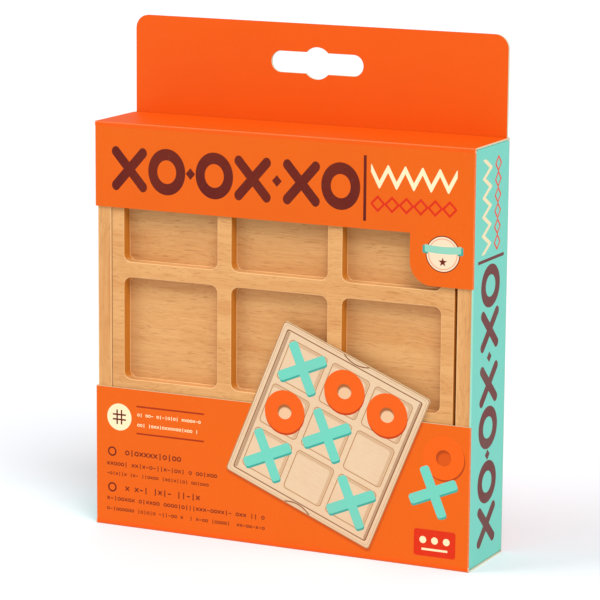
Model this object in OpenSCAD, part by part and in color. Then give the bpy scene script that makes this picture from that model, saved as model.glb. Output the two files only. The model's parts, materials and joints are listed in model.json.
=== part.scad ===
// Tic tac toe set: a wooden game box with a nine-pocket board, stored crosses and rings,
// packed in a folding carton with a window, a die-cut picture and a hanging tab.
//
// X runs to the right, Y from the front to the back and Z upwards. The origin is the
// middle of the carton's footprint, on the surface that it stands on.
// The carton is one folded sheet: each panel or flap between two creases is a node.

/* [Carton] */
// Width over the two side panels
carton_w = 133; // [111:1:165]
// Height without the hanging tab
carton_h = 134; // [111:1:165]
// Depth over the front and back panels
carton_d = 28; // [23:0.5:40]
// Thickness of the paperboard
sheet_t = 0.5; // [0.3:0.05:0.7]
// Gap between two sheets that lie on each other
sheet_gap = 0.05; // [0.05:0.05:0.2]
// Width of the glued seam flap inside the back panel
seam_w = 12; // [8:1:16]

/* [Hanging tab] */
// Height of the tab above the carton
tab_h = 32.2; // [26:0.2:45]
// How far the tab stands in from each side panel's outer face
tab_inset = 0.7; // [0.6:0.1:3]
// Radius of the tab's top corners
tab_corner_r = 4.5; // [1:0.5:8]
// How far the tab's front ply runs down inside the carton
tab_lap = 16; // [15:1:24]
// Length of the hanging slot
slot_w = 32.6; // [26:0.2:40]
// Height of the hanging slot
slot_h = 6.9; // [5:0.1:9]
// Diameter of the round peg seat in the middle of the slot
peg_seat_d = 10.4; // [9.5:0.1:13]
// Distance from the tab's top edge to the middle of the slot
slot_drop = 12.6; // [10:0.2:17]

/* [Window] */
// Distance from the carton's top to the window's top edge
window_from_top = 27.7; // [20:0.5:35]
// Height of the window's bottom edge
window_from_bottom = 46.6; // [40:0.5:52]
// How far back the window wraps round the left side
window_wrap = 14; // [8:0.5:18]
// Radius of the window's corners on the left side
window_corner_r = 3; // [0.5:0.5:6]
// Width of the tongue that drops into the window at the right
drop_w = 21.5; // [16:0.5:28]
// Height of that tongue below the window's top edge
drop_h = 16.2; // [12:0.2:20]
// Radius of that tongue's free corner
drop_r = 7.5; // [2:0.5:10]

/* [Die-cut picture] */
// Side of the square picture that stands up over the window's bottom edge
picture_size = 54.8; // [45:0.2:60]
// Clockwise turn of the picture in degrees
picture_turn = 22.3; // [10:0.1:35]
// Distance from the carton's right edge to the picture's middle
picture_from_right = 49.4; // [44:0.2:56]
// Height of the picture's middle
picture_up = 38.9; // [38:0.1:46]
// Radius of the picture's corners
picture_corner_r = 1; // [0.5:0.5:3]

/* [Closures] */
// Length of the tuck tongues
tongue_l = 13; // [9:0.5:14]
// How far a tuck tongue stands in from the side panels
tongue_inset = 1; // [0.5:0.5:4]
// Radius of a tuck tongue's free corners
tongue_corner_r = 6; // [2:0.5:8]
// Length of the dust flaps
dust_l = 26; // [18:1:36]
// Taper of a dust flap's front edge, as depth lost for each unit of length
dust_taper = 0.55; // [0.52:0.01:0.6]
// Distance from the main flap's crease to a dust flap
dust_setback = 1.5; // [1.2:0.1:3]
// Chamfer on a dust flap's back corner
dust_chamfer = 3; // [1:0.5:4]

/* [Game box] */
// Gap between the game box and the carton on each side, at the ends and in front
box_gap = 0.1; // [0.05:0.05:0.4]
// Gap between the game box and the upper tuck tongue
box_back_gap = 0.2; // [0.1:0.05:1]
// Width of the rails round the board
rail_w = 5; // [4:0.5:8]
// How far the ledges carry the board beyond the rails
ledge_w = 3; // [2:0.5:5]
// Thickness of the box's back plate
back_plate_t = 3; // [2:0.5:4]
// Width of the finger notches in the top and bottom rails
notch_w = 22; // [18:0.5:30]
// Depth of the finger notches
notch_depth = 8.5; // [6:0.5:8.5]

/* [Game board] */
// Thickness of the board
board_t = 9; // [9:0.5:11]
// How far the board lies below the rails' face
board_recess = 0.3; // [0:0.1:1]
// Play between the board and the rails, in width and in height
board_play = 1.1; // [0.4:0.1:2]
// Part of that play that is left where the board rests, at the left and at the bottom
board_rest_gap = 0.15; // [0.05:0.05:0.2]
// Depth of the nine pockets
pocket_depth = 3.7; // [2.5:0.1:5]
// Radius of the pockets' corners
pocket_corner_r = 2.5; // [1:0.5:5]
// Width of the ribs between the pockets
rib_w = 5.1; // [4:0.1:7]
// Width of the border round the pockets
border_w = 4.5; // [3.5:0.1:7]

/* [Crosses and rings] */
// Thickness of a cross or a ring
piece_t = 5; // [4:0.5:6]
// Gap round a piece that lies in a pocket
piece_gap = 0.75; // [0.4:0.05:1.5]
// Gap between the stored pieces, and between them and the back plate
storage_gap = 0.1; // [0.05:0.05:0.3]
// Width of a cross's arms
arm_w = 8; // [6:0.5:10]
// Diameter of a ring's hole
ring_hole_d = 11; // [8:0.5:14]
// Chamfer on a ring's edges
ring_chamfer = 0.5; // [0.2:0.1:0.8]

/* [Hidden] */
$fn = 64;
// How far a cutting shape runs past the face that it cuts
past = 1;
// The board's pockets, and the stored pieces, make three rows of three
rows = 3;

// Carton faces
side_x = carton_w / 2;
front_y = -carton_d / 2;
back_y = carton_d / 2;
front_inner_y = front_y + sheet_t;
back_inner_y = back_y - sheet_t;
// The seam flap and the tab's front ply lie against the back panel, in one layer
lining_y = back_inner_y - sheet_t;

// Each end of the carton is a main flap with two dust flaps inside it
dust_outer_z = sheet_t + sheet_gap;
dust_inner_z = dust_outer_z + sheet_t;

// The upper tuck tongue lies in front of the tab's front ply, the lower one on the back panel
top_flap_back_y = lining_y - sheet_gap;
bottom_flap_back_y = back_inner_y - sheet_gap;
top_tongue_y = top_flap_back_y - sheet_t;
bottom_tongue_y = bottom_flap_back_y - sheet_t;
tongue_w = carton_w - 2 * (sheet_t + tongue_inset);

// Window and the tongue that drops into it
window_bottom_z = window_from_bottom;
window_top_z = carton_h - window_from_top;
drop_bottom_z = window_top_z - drop_h;
drop_x = side_x - drop_w;

// Hanging tab
tab_top_z = carton_h + tab_h;
tab_w = carton_w - 2 * tab_inset;
slot_z = tab_top_z - slot_drop;

// Game box, which fills the carton between the closures
box_w = carton_w - 2 * (sheet_t + box_gap);
box_bottom_z = dust_inner_z + box_gap;
box_top_z = carton_h - box_bottom_z;
box_h = box_top_z - box_bottom_z;
box_front_y = front_inner_y + box_gap;
box_back_y = top_tongue_y - box_back_gap;
plate_y = box_back_y - back_plate_t;

// Game board, which lies on the ledges
board_y = box_front_y + board_recess;
ledge_y = board_y + board_t;
board_w = box_w - 2 * rail_w - board_play;
board_h = box_h - 2 * rail_w - board_play;
board_x = -box_w / 2 + rail_w + board_rest_gap;
board_z = box_bottom_z + rail_w + board_rest_gap;
pocket_w = (board_w - 2 * border_w - (rows - 1) * rib_w) / rows;
pocket_h = (board_h - 2 * border_w - (rows - 1) * rib_w) / rows;

// Crosses and rings share one overall size, which fits a pocket
piece_size = min(pocket_w, pocket_h) - 2 * piece_gap;

// The pieces are stored upright behind the board: three columns, each stacked on the ledge
storage_w = box_w - 2 * (rail_w + ledge_w);
storage_z = box_bottom_z + rail_w + ledge_w;
column_gap = (storage_w - rows * piece_size) / (rows + 1);
piece_y = plate_y - storage_gap - piece_t;

// A notch is part of a round cutter whose middle stands in front of the rail
notch_r = (pow(notch_w / 2, 2) + pow(notch_depth, 2)) / (2 * notch_depth);
notch_middle_y = box_front_y + notch_depth - notch_r;

ORANGE = "#f26a1c";
DEEP_ORANGE = "#e85510";
MINT = "#7ad9c7";
CREAM = "#f4dfc0";
BEECH = "#dfa76c";
PALE_BEECH = "#e4b47e";

// Stands a flat drawing of X and Z up as a plate with its front face at y.
module upright(y, thickness)
    translate([0, y + thickness, 0])
        rotate([90, 0, 0])
            linear_extrude(thickness)
                children();

// Stands a flat drawing of Y and Z up as a plate whose left face is at x.
module sideways(x, thickness)
    translate([x, 0, 0])
        rotate([90, 0, 90])
            linear_extrude(thickness)
                children();

// A flat rectangle from one corner to the other.
module area(low, high)
    translate(low)
        square(high - low);

// A flat rectangle with four round corners, from one corner to the other.
module round_area(low, high, r) {
    area(low + [r, 0], high - [r, 0]);
    area(low + [0, r], high - [0, r]);
    for (x = [low.x + r, high.x - r], y = [low.y + r, high.y - r])
        translate([x, y])
            circle(r);
}

// Carton: the front, in two bands above and below the window

module front_panel_upper()
    color(ORANGE)
        upright(front_y, sheet_t) {
            area([-side_x, window_top_z], [side_x, carton_h - sheet_t]);
            // The tongue has one round corner, at its lower left
            area([drop_x + drop_r, drop_bottom_z], [side_x, window_top_z]);
            area([drop_x, drop_bottom_z + drop_r], [side_x, window_top_z]);
            translate([drop_x + drop_r, drop_bottom_z + drop_r])
                circle(drop_r);
        }

module front_panel_lower()
    color(ORANGE)
        upright(front_y, sheet_t) {
            area([-side_x, sheet_t], [side_x, window_bottom_z]);
            translate([side_x - picture_from_right, picture_up])
                rotate(-picture_turn)
                    round_area([-1, -1] * picture_size / 2, [1, 1] * picture_size / 2,
                        picture_corner_r);
        }

// Carton: the sides and the back

module left_side_panel()
    color(MINT)
        sideways(-side_x, sheet_t)
            difference() {
                area([front_inner_y, dust_inner_z], [back_inner_y, carton_h - dust_inner_z]);
                // The two front corners of this cut lie in front of the panel
                round_area([front_inner_y - past - window_corner_r, window_bottom_z],
                    [front_inner_y + window_wrap, window_top_z], window_corner_r);
            }

module right_side_panel()
    color(MINT)
        sideways(side_x - sheet_t, sheet_t) {
            area([front_inner_y, dust_inner_z], [back_inner_y, carton_h - dust_inner_z]);
            // Beside the open window the panel reaches the front by itself
            area([front_y, window_bottom_z], [front_inner_y + past, drop_bottom_z]);
        }

module back_panel()
    color(ORANGE)
        upright(back_inner_y, sheet_t)
            area([-side_x, 0], [side_x, carton_h]);

module seam_flap()
    color(CREAM)
        upright(lining_y, sheet_t)
            area([sheet_t - side_x, sheet_t + tongue_l + past],
                [sheet_t - side_x + seam_w, carton_h - tab_lap - past]);

// Carton: the hanging tab, folded over at its top edge into two plies

module tab_drawing(bottom_z)
    difference() {
        union() {
            area([-tab_w / 2, bottom_z], [tab_w / 2, tab_top_z - tab_corner_r]);
            round_area([-tab_w / 2, tab_top_z - tab_h / 2], [tab_w / 2, tab_top_z],
                tab_corner_r);
        }
        translate([0, slot_z]) {
            square([slot_w - slot_h, slot_h], center = true);
            for (end = [-1, 1])
                translate([end * (slot_w - slot_h) / 2, 0])
                    circle(d = slot_h);
            circle(d = peg_seat_d);
        }
    }

module hang_tab_back_ply()
    color(ORANGE)
        upright(back_inner_y, sheet_t)
            tab_drawing(carton_h);

module hang_tab_front_ply()
    color(DEEP_ORANGE)
        upright(lining_y, sheet_t)
            tab_drawing(carton_h - tab_lap);

// Closures: the same shapes at the top and the bottom, the top ones turned over

module main_flap(back_edge_y)
    linear_extrude(sheet_t)
        area([-side_x, front_y], [side_x, back_edge_y]);

module tuck_tongue(y)
    upright(y, sheet_t) {
        area([-tongue_w / 2, sheet_t], [tongue_w / 2, sheet_t + tongue_l - tongue_corner_r]);
        area([tongue_corner_r - tongue_w / 2, sheet_t],
            [tongue_w / 2 - tongue_corner_r, sheet_t + tongue_l]);
        for (side = [-1, 1])
            translate([side * (tongue_w / 2 - tongue_corner_r),
                    sheet_t + tongue_l - tongue_corner_r])
                circle(tongue_corner_r);
    }

module dust_flap_left(tongue_y) {
    start_y = front_y + dust_setback;
    end_y = tongue_y - sheet_gap;
    translate([-side_x, 0, dust_outer_z])
        linear_extrude(sheet_t)
            polygon([
                [0, start_y],
                [dust_l, start_y + dust_taper * dust_l],
                [dust_l, end_y - dust_chamfer],
                [dust_l - dust_chamfer, end_y],
                [0, end_y]
            ]);
}

// Turns a shape of the lower closure over to the carton's top.
module at_top()
    translate([0, 0, carton_h])
        mirror([0, 0, 1])
            children();

module top_flap()
    color(ORANGE)
        at_top() main_flap(top_flap_back_y);

module top_tuck_tongue()
    color(DEEP_ORANGE)
        at_top() tuck_tongue(top_tongue_y);

module top_dust_flap_left()
    color(MINT)
        at_top() dust_flap_left(top_tongue_y);

module top_dust_flap_right()
    color(MINT)
        mirror([1, 0, 0]) at_top() dust_flap_left(top_tongue_y);

module bottom_flap()
    color(ORANGE)
        main_flap(bottom_flap_back_y);

module bottom_tuck_tongue()
    color(DEEP_ORANGE)
        tuck_tongue(bottom_tongue_y);

module bottom_dust_flap_left()
    color(MINT)
        dust_flap_left(bottom_tongue_y);

module bottom_dust_flap_right()
    color(MINT)
        mirror([1, 0, 0]) dust_flap_left(bottom_tongue_y);

// Game box: a back plate and four rails with a ledge for the board

module box_back_plate()
    color(PALE_BEECH)
        upright(plate_y, back_plate_t)
            area([-box_w / 2, box_bottom_z], [box_w / 2, box_top_z]);

module box_rail_left()
    color(BEECH)
        translate([-box_w / 2, 0, box_bottom_z]) {
            linear_extrude(box_h)
                area([0, box_front_y], [rail_w, plate_y]);
            // The ledge ends at the top and bottom rails
            translate([0, 0, rail_w])
                linear_extrude(box_h - 2 * rail_w)
                    area([0, ledge_y], [rail_w + ledge_w, plate_y]);
        }

module box_rail_right()
    mirror([1, 0, 0]) box_rail_left();

module notched_rail()
    difference() {
        union() {
            translate([rail_w - box_w / 2, box_front_y, 0])
                cube([box_w - 2 * rail_w, plate_y - box_front_y, rail_w]);
            translate([rail_w + ledge_w - box_w / 2, ledge_y, 0])
                cube([storage_w, plate_y - ledge_y, rail_w + ledge_w]);
        }
        translate([0, notch_middle_y, -past])
            cylinder(h = rail_w + 2 * past, r = notch_r);
    }

module box_rail_bottom()
    color(BEECH)
        translate([0, 0, box_bottom_z])
            notched_rail();

module box_rail_top()
    color(BEECH)
        translate([0, 0, box_top_z])
            mirror([0, 0, 1]) notched_rail();

// Game board: one slab with nine pockets milled in its front

module game_board()
    color(PALE_BEECH)
        difference() {
            upright(board_y, board_t)
                area([board_x, board_z], [board_x + board_w, board_z + board_h]);
            for (column = [0 : rows - 1], row = [0 : rows - 1]) {
                low = [board_x + border_w + column * (pocket_w + rib_w),
                    board_z + border_w + row * (pocket_h + rib_w)];
                upright(board_y - past, pocket_depth + past)
                    round_area(low, low + [pocket_w, pocket_h], pocket_corner_r);
            }
        }

// Crosses and rings, stored in turn in three columns of three

module stored(place) {
    column = place % rows;
    row = floor(place / rows);
    x = -storage_w / 2 + column_gap + piece_size / 2 + column * (piece_size + column_gap);
    z = storage_z + storage_gap + piece_size / 2 + row * (piece_size + storage_gap);
    translate([x, piece_y + piece_t, z])
        rotate([90, 0, 0])
            children();
}

module cross(number) {
    // The arms end in half circles that touch the sides of the piece's square
    reach = (piece_size - arm_w) / 2 * sqrt(2);
    color(MINT)
        stored(2 * (number - 1))
            linear_extrude(piece_t)
                for (turn = [45, 135])
                    rotate(turn) {
                        square([2 * reach, arm_w], center = true);
                        for (end = [-reach, reach])
                            translate([end, 0])
                                circle(d = arm_w);
                    }
}

module ring(number) {
    inner = ring_hole_d / 2;
    outer = piece_size / 2;
    edge = ring_chamfer;
    color(DEEP_ORANGE)
        stored(2 * number - 1)
            rotate_extrude()
                polygon([
                    [inner + edge, 0], [outer - edge, 0], [outer, edge],
                    [outer, piece_t - edge], [outer - edge, piece_t],
                    [inner + edge, piece_t], [inner, piece_t - edge], [inner, edge]
                ]);
}

front_panel_upper();
front_panel_lower();
left_side_panel();
right_side_panel();
back_panel();
seam_flap();
hang_tab_back_ply();
hang_tab_front_ply();
top_flap();
top_tuck_tongue();
top_dust_flap_left();
top_dust_flap_right();
bottom_flap();
bottom_tuck_tongue();
bottom_dust_flap_left();
bottom_dust_flap_right();
box_back_plate();
box_rail_left();
box_rail_right();
box_rail_top();
box_rail_bottom();
game_board();
cross(1);  // cross_1
cross(2);  // cross_2
cross(3);  // cross_3
cross(4);  // cross_4
cross(5);  // cross_5
ring(1);  // ring_1
ring(2);  // ring_2
ring(3);  // ring_3
ring(4);  // ring_4
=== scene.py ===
"""A tic tac toe set: a beech game box in a printed window carton with a hanging tab."""

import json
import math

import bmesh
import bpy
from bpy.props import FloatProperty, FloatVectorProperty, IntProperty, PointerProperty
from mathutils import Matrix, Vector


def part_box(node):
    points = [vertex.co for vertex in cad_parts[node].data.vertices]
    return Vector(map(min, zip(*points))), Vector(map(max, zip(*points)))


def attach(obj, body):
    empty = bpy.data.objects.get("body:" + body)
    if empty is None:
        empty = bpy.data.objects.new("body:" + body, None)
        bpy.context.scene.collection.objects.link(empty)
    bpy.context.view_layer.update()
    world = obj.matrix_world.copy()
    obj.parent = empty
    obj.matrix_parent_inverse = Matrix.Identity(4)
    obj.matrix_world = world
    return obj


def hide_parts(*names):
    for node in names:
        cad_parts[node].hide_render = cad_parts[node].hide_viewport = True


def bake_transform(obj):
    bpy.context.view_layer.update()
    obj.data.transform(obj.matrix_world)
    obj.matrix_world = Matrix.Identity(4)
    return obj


bl_info = {
    "name": "Tic Tac Toe Set in a Window Carton",
    "version": (1, 0, 0),
    "blender": (4, 5, 0),
    "location": "3D View > Sidebar > Tic Tac Toe",
    "description": "Builds the printed carton, the beech game box, its board and its playing pieces",
    "category": "Object",
}

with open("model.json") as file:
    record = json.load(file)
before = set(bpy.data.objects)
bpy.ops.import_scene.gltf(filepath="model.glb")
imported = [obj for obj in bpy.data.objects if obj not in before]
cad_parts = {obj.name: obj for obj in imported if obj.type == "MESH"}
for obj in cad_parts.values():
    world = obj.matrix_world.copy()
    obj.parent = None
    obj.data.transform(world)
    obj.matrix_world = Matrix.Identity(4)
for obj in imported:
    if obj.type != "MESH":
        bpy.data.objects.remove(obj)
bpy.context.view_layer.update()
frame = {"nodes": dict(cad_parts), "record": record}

MM = 0.001
X, Y, Z = 0, 1, 2
RIGHT = Vector((1, 0, 0))
BACKWARDS = Vector((0, 1, 0))
UP = Vector((0, 0, 1))

# The carton's own planes, read from its panels
BACK_LOW, BACK_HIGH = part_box("back_panel")
SHEET = BACK_HIGH.y - BACK_LOW.y
SIDE_X = BACK_HIGH.x
BACK_Y = BACK_HIGH.y
FRONT_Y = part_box("front_panel_lower")[0].y
TOP_Z = BACK_HIGH.z
TAB_TOP_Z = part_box("hang_tab_back_ply")[1].z

# A crease that opens and the board beside it are one bent strip, this long on each side.
STRIP = 3 * SHEET
CREASE_INNER_R = 0.05 * MM

# Points within this depth on the inside of a crease are pressed towards it, by this much
CREASE_PRESSED = 1.25 * SHEET
CREASE_PRESSED_BY = 0.14 * MM

# Two points nearer than this are one point
TOUCH = 0.002 * MM

# Faces that meet within the first angle are one flat face, and past the second a sharp edge
FLAT_WITHIN = math.radians(1)
SHARP_FROM = math.radians(38)

# Name of the value that is 1 on a face made by sanding an edge. Those faces are painted paler: sanded
# wood, and a painted highlight along the edge
SANDED_AND_HIGHLIT = "sanded_and_highlit"

# Specular levels of coated print, and of bare board and wood
PRINT_SHINE = 0.14
DRY_SHINE = 0.2


def ink(code):
    """A linear colour from a six-digit hexadecimal one."""
    parts = [int(code[i:i + 2], 16) / 255 for i in (0, 2, 4)]
    return tuple(c / 12.92 if c <= 0.04045 else ((c + 0.055) / 1.055) ** 2.4 for c in parts)


def colour_property(name, description, code):
    """A setting for a colour, whose default is a six-digit hexadecimal one."""
    return FloatVectorProperty(
        name=name, description=description, subtype="COLOR", size=3, min=0, max=1,
        default=ink(code))


class CartonSettings(bpy.types.PropertyGroup):
    """Inks and board of the folding carton."""

    orange: colour_property("Orange ink", "Ground of the front", "d85b05")
    deep_orange: colour_property("Deep orange ink", "Ground of the back, tab and closures", "dd5402")
    mint: colour_property("Mint ink", "Ground of the two sides", "76cdbb")
    maroon: colour_property("Maroon ink", "Large marks and the bar beside them", "5c150a")
    dark_red: colour_property("Dark red ink", "Rules above and below the small cream lines", "9a2a06")
    red: colour_property("Red ink", "Second row of marks and the plain label", "cc2606")
    cream: colour_property("Cream ink", "First row of marks and the discs", "f1dbb0")
    core: colour_property("Board core", "Cut edges of the board", "d6cfae")
    liner: colour_property("Board liner", "Unprinted inner side of the board", "dad4c6")
    fold_radius: FloatProperty(
        name="Fold radius", description="Outer radius of the folds that don't open",
        default=0.45 * MM, min=0.1 * MM, max=0.48 * MM, unit="LENGTH")
    fold_segments: IntProperty(
        name="Fold segments", description="Faces round each fold", default=6, min=2, max=16)


class InkSettings(bpy.types.PropertyGroup):
    """Inks of the sides, the back, the medal and the picture."""

    side_maroon: colour_property("Side maroon", "Large marks on the two sides", "6b2f2d")
    side_red: colour_property("Side red", "Second row of marks on the right side", "e0442a")
    tone: colour_property("Tone", "The game on the back, tone on tone", "c64402")
    medal: colour_property("Medal", "Ground of the medal", "eccdad")
    medal_line: colour_property("Medal line", "Thin ring on the medal", "d98a68")
    ribbon: colour_property("Ribbon", "Ribbon across the medal", "85c3ac")
    mint: colour_property("Cross", "Faces of the printed crosses", "68c2ad")
    teal: colour_property("Cross side", "Sides of the printed crosses and the ribbon's tails", "36988a")
    ring: colour_property("Ring", "Faces of the rings in the picture", "e0590e")
    ring_side: colour_property("Ring side", "Sides of the rings in the picture", "b43608")
    ring_hole: colour_property("Ring hole", "Shadow in the holes of those rings", "9c5a2e")
    ring_floor: colour_property("Ring floor", "Wood seen through those holes", "dcb48c")
    loose_ring: colour_property("Loose ring", "Face of the ring beside the picture", "e25a06")
    loose_side: colour_property("Loose ring side", "Side of that ring and shadow in its hole", "a83c04")
    loose_floor: colour_property("Loose ring floor", "Ground seen through its hole", "c94d05")
    wood: colour_property("Pictured wood", "Wood of the pictured box", "d6bb9a")
    wood_dark: colour_property("Pictured grain", "Grain of the pictured box", "cfa87e")
    line: colour_property("Pictured line", "Thin lines of the pictured box", "a97c52")
    gap: colour_property("Pictured gap", "Gap between the pictured box and its board", "7e4e2c")
    shadow: colour_property("Pictured shadow", "Shadow beside the pictured box", "b23e08")


class WoodSettings(bpy.types.PropertyGroup):
    """Wood and paint of the game box and its pieces."""

    light: colour_property("Light beech", "Early wood", "d29d63")
    dark: colour_property("Dark beech", "Late wood", "bf7f45")
    fleck: colour_property("Flecks", "Short dark rays along the grain", "935226")
    end_grain: colour_property("End grain", "Faces cut across the grain", "c4740c")
    # Paler colour of the sanded edges, which also stands in for a painted highlight along them
    sanded_and_highlit: colour_property("Sanded edges", "Edges where the sander took the colour off", "f0c890")
    mint: colour_property("Mint paint", "Crosses", "7fd6c2")
    orange: colour_property("Orange paint", "Rings", "f0661f")
    edge_radius: FloatProperty(
        name="Edge radius", description="Sanded edges of the rails and of the board",
        default=0.4 * MM, min=0.1 * MM, max=1 * MM, unit="LENGTH")
    cross_radius: FloatProperty(
        name="Cross radius", description="Rounded edges of the crosses",
        default=0.8 * MM, min=0.2 * MM, max=1.5 * MM, unit="LENGTH")
    ring_radius: FloatProperty(
        name="Ring radius", description="Rounded edges of the rings",
        default=0.9 * MM, min=0.2 * MM, max=1.5 * MM, unit="LENGTH")
    edge_segments: IntProperty(
        name="Edge segments", description="Faces across a rounded edge of a cross or a ring",
        default=4, min=1, max=8)
    ring_steps: IntProperty(
        name="Ring steps", description="Faces round a ring", default=96, min=24, max=192)


class StageSettings(bpy.types.PropertyGroup):
    """Camera and light."""

    lens: FloatProperty(
        name="Lens", description="Focal length in millimetres", default=185.3, min=20, max=400)
    azimuth: FloatProperty(
        name="Azimuth", description="Camera's place round the carton, from the front to the right",
        default=math.radians(25.493), subtype="ANGLE")
    elevation: FloatProperty(
        name="Elevation", description="Angle of the camera's line above the horizon",
        default=math.radians(10.872), subtype="ANGLE")
    roll: FloatProperty(
        name="Roll", description="Turn of the camera about its own line",
        default=math.radians(0.453), subtype="ANGLE")
    place: FloatVectorProperty(
        name="Camera place", description="Where the camera stands", subtype="TRANSLATION",
        size=3, default=(0.4200, -0.8792, 0.2658))
    key_strength: FloatProperty(
        name="Key light", description="Strength of the light from the front right",
        default=2.05, min=0, max=10)
    fill_strength: FloatProperty(
        name="Fill light", description="Strength of the light from the front left",
        default=1.4, min=0, max=10)
    sky_strength: FloatProperty(
        name="Sky light", description="Strength of the white light from all round",
        default=0.58, min=0, max=2)


# Shader expressions


class Value:
    """A shader socket in Python arithmetic. Each operation adds its Math node."""

    def __init__(self, finish, socket):
        self.finish = finish
        self.socket = socket

    def __add__(self, other):
        return self.finish.math("ADD", self, other)

    __radd__ = __add__

    def __sub__(self, other):
        return self.finish.math("SUBTRACT", self, other)

    def __rsub__(self, other):
        return self.finish.math("SUBTRACT", other, self)

    def __mul__(self, other):
        return self.finish.math("MULTIPLY", self, other)

    __rmul__ = __mul__

    def __truediv__(self, other):
        return self.finish.math("DIVIDE", self, other)

    def __abs__(self):
        return self.finish.math("ABSOLUTE", self)

    def at_least(self, other):
        return self.finish.math("MAXIMUM", self, other)

    def at_most(self, other):
        return self.finish.math("MINIMUM", self, other)

    def above(self, limit):
        return self.finish.math("GREATER_THAN", self, limit)

    def wrapped(self, period):
        return self.finish.math("FLOORED_MODULO", self, period)

    def floored(self):
        return self.finish.math("FLOOR", self)

    def clamped(self):
        return self.finish.math("ADD", self, 0, clamp=True)


class Finish:
    """One procedural material."""

    # Places of the colour sockets on a Mix node
    MIX_FACTOR, MIX_A, MIX_B, MIX_RESULT = 0, 6, 7, 2

    def __init__(self, name):
        self.material = bpy.data.materials.new(name)
        self.material.use_nodes = True
        self.tree = self.material.node_tree
        self.tree.nodes.clear()
        self.surface = self.add("ShaderNodeBsdfPrincipled")
        self.add("ShaderNodeOutputMaterial", values={"Surface": self.surface.outputs["BSDF"]})

    def add(self, kind, settings=None, values=None):
        """A node of that kind, with its settings made first and then its sockets fed."""
        node = self.tree.nodes.new(kind)
        for name, setting in (settings or {}).items():
            setattr(node, name, setting)
        for key, value in (values or {}).items():
            self.feed(node.inputs[key], value)
        return node

    def feed(self, socket, value):
        if isinstance(value, Value):
            self.tree.links.new(value.socket, socket)
        elif isinstance(value, bpy.types.NodeSocket):
            self.tree.links.new(value, socket)
        elif socket.type == "RGBA":
            socket.default_value = (*value, 1)
        else:
            socket.default_value = value

    def math(self, operation, *values, clamp=False):
        settings = {"operation": operation, "use_clamp": clamp}
        node = self.add("ShaderNodeMath", settings, dict(enumerate(values)))
        return Value(self, node.outputs[0])

    def places(self):
        """X, Y and Z of the surface in millimetres, in the piece's own frame."""
        point = self.add("ShaderNodeTexCoord").outputs["Object"]
        parts = self.add("ShaderNodeSeparateXYZ", values={0: point})
        return [Value(self, socket) / MM for socket in parts.outputs]

    def facing(self, axis):
        """How squarely the surface faces along an axis of the piece, from 0 to 1."""
        normal = self.add("ShaderNodeTexCoord").outputs["Normal"]
        parts = self.add("ShaderNodeSeparateXYZ", values={0: normal})
        return abs(Value(self, parts.outputs[axis]))

    def noise(self, x, y, z, detail=2.0, roughness=0.5):
        """Smooth noise about 0.5, with one lump to each unit of x, y and z."""
        point = self.add("ShaderNodeCombineXYZ", values={0: x, 1: y, 2: z})
        values = {"Vector": point.outputs[0], "Scale": 1, "Detail": detail, "Roughness": roughness}
        return Value(self, self.add("ShaderNodeTexNoise", values=values).outputs[0])

    def even_noise(self, places, per_mm, detail=2.0):
        """Noise with that many lumps to a millimetre along every axis."""
        return self.noise(*(place * per_mm for place in places), detail=detail)

    def chance(self, number, row):
        """A value from 0 to 1 that is the same for each whole number of a row."""
        point = self.add("ShaderNodeCombineXYZ", values={0: number, 1: row})
        values = {"Vector": point.outputs[0]}
        node = self.add("ShaderNodeTexWhiteNoise", {"noise_dimensions": "2D"}, values)
        return Value(self, node.outputs["Value"])

    def marked(self, name):
        """The value that the mesh carries for each of its faces under that name."""
        node = self.add("ShaderNodeAttribute", {"attribute_name": name})
        return Value(self, node.outputs["Fac"])

    def paint(self, colour, over, mask):
        """One colour painted over another where the mask is 1."""
        values = {self.MIX_FACTOR: mask, self.MIX_A: colour, self.MIX_B: over}
        node = self.add("ShaderNodeMix", {"data_type": "RGBA"}, values)
        return node.outputs[self.MIX_RESULT]

    def raise_by(self, height, distance, strength=1.0):
        """Bump of that height, from 0 to 1, over that distance in metres."""
        values = {"Height": height, "Distance": distance, "Strength": strength}
        self.set("Normal", self.add("ShaderNodeBump", values=values).outputs["Normal"])

    def set(self, name, value):
        self.feed(self.surface.inputs[name], value)


# Flat shapes for print, as distances in millimetres that are below 0 inside the shape


def distance(a, b):
    return a.finish.math("SQRT", a * a + b * b)


def disc(x, z, radius):
    return distance(x, z) - radius


def ring_shape(x, z, radius, width):
    return abs(distance(x, z) - (radius - width / 2)) - width / 2


def block(x, z, half_width, half_height):
    return (abs(x) - half_width).at_least(abs(z) - half_height)


def round_block(x, z, half_width, half_height, radius):
    beyond_x = (abs(x) - (half_width - radius)).at_least(0)
    beyond_z = (abs(z) - (half_height - radius)).at_least(0)
    return distance(beyond_x, beyond_z) - radius


def round_square(x, z, half, radius):
    return round_block(x, z, half, half, radius)


def diamond(x, z, half_size):
    return abs(x) + abs(z) - half_size


def cross_shape(x, z, reach, width, roundness=0.98):
    """Two diagonal arms. Reach is half an arm's length, and a roundness of 1 makes round ends."""
    u = (x + z) * math.sqrt(0.5)
    v = (x - z) * math.sqrt(0.5)
    radius = roundness * width / 2
    falling = round_block(v, u, reach, width / 2, radius)
    rising = round_block(u, v, reach, width / 2, radius)
    return falling.at_most(rising)


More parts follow.
